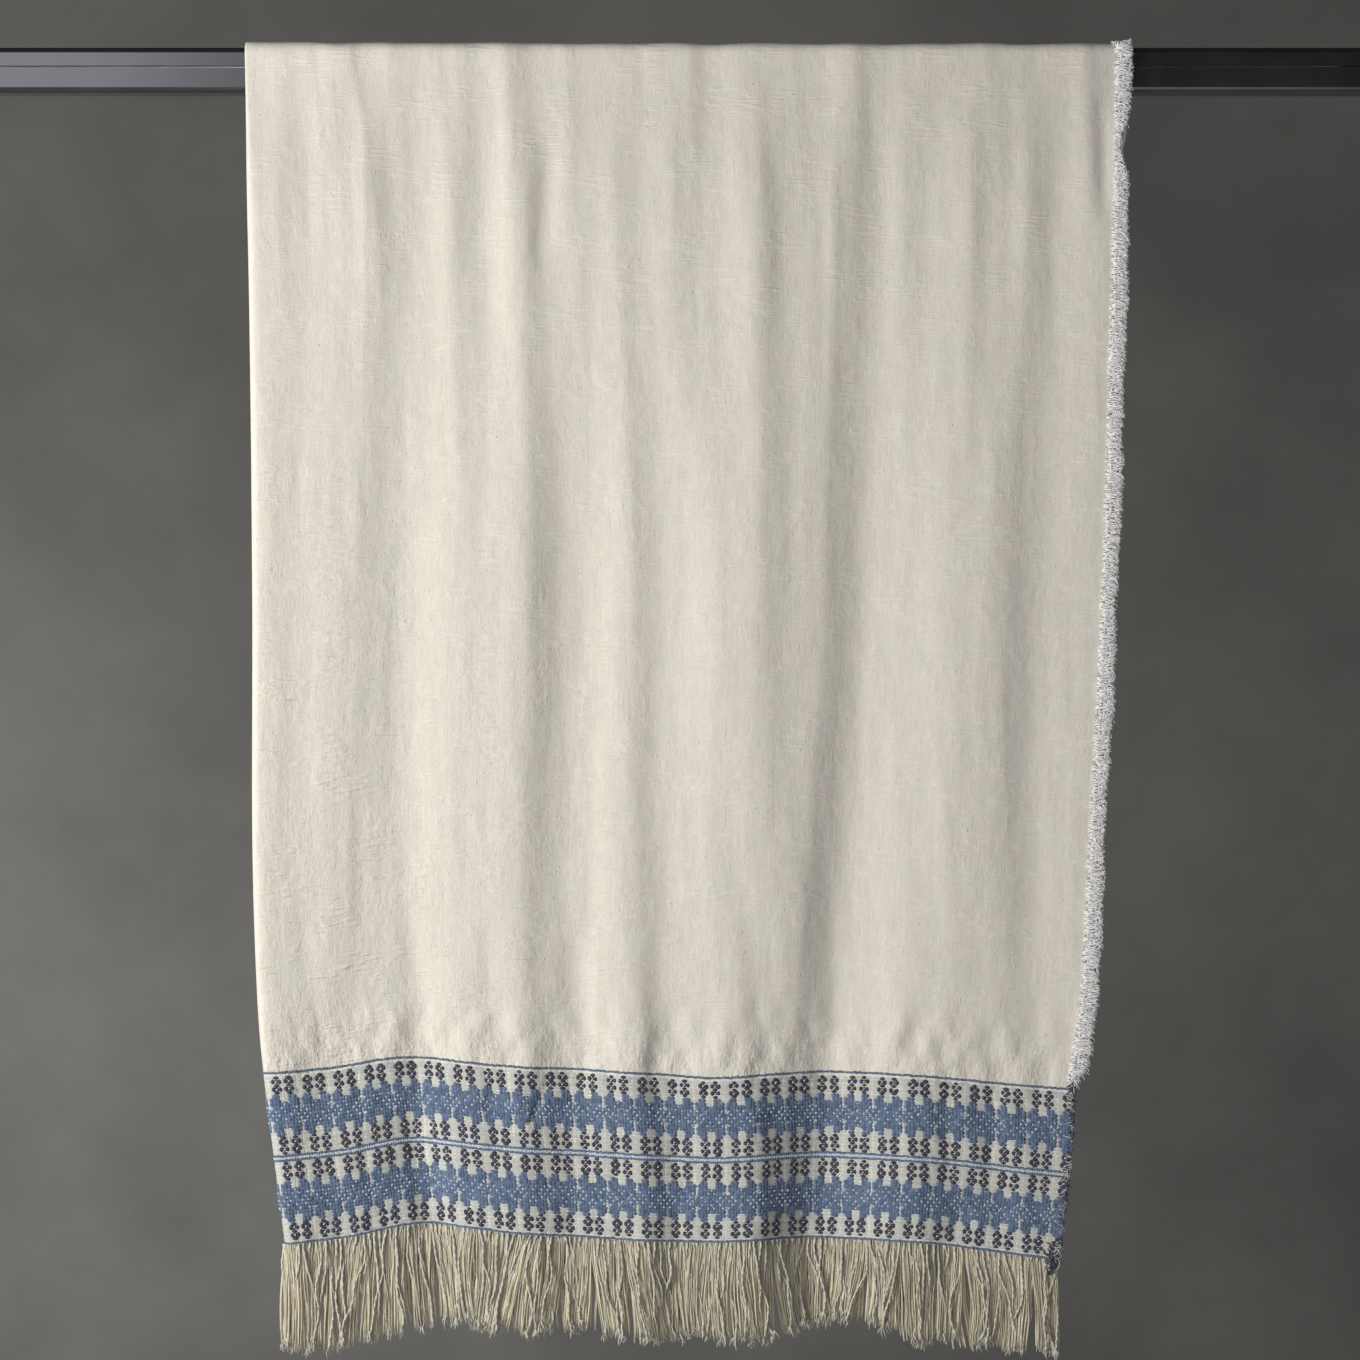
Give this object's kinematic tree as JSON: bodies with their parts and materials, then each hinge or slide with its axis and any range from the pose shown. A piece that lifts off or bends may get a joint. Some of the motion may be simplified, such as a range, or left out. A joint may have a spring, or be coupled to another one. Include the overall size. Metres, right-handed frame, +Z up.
{
  "type": "embroidered bedspread hung over a rail",
  "caption": "Handwoven cream cotton bedspread with a blue and navy geometric border and fringed ends, folded along its length and hung over a plain dark metal rail.",
  "frame": {"origin": "middle of the rail's left end face, seen from the front", "axes": "+X along the rail to its right end, +Y to the back, +Z up; the front of the cloth faces -Y"},
  "size_m": [1.27, 0.0828, 1.2219],
  "materials": {
    "woven_cotton": "matt handwoven plain weave with a blue and navy woven border",
    "fringe_yarn": "loose two-ply cotton yarn",
    "side_yarn": "short frayed cotton yarn ends",
    "rail_metal": "dark satin metal"
  },
  "bodies": {
    "root": {"bedspread": "woven_cotton", "front_fringe": "fringe_yarn", "back_fringe": "fringe_yarn", "outer_side_fringe": "side_yarn", "inner_side_fringe": "side_yarn", "rail": "rail_metal"}
  },
  "joints": []
}
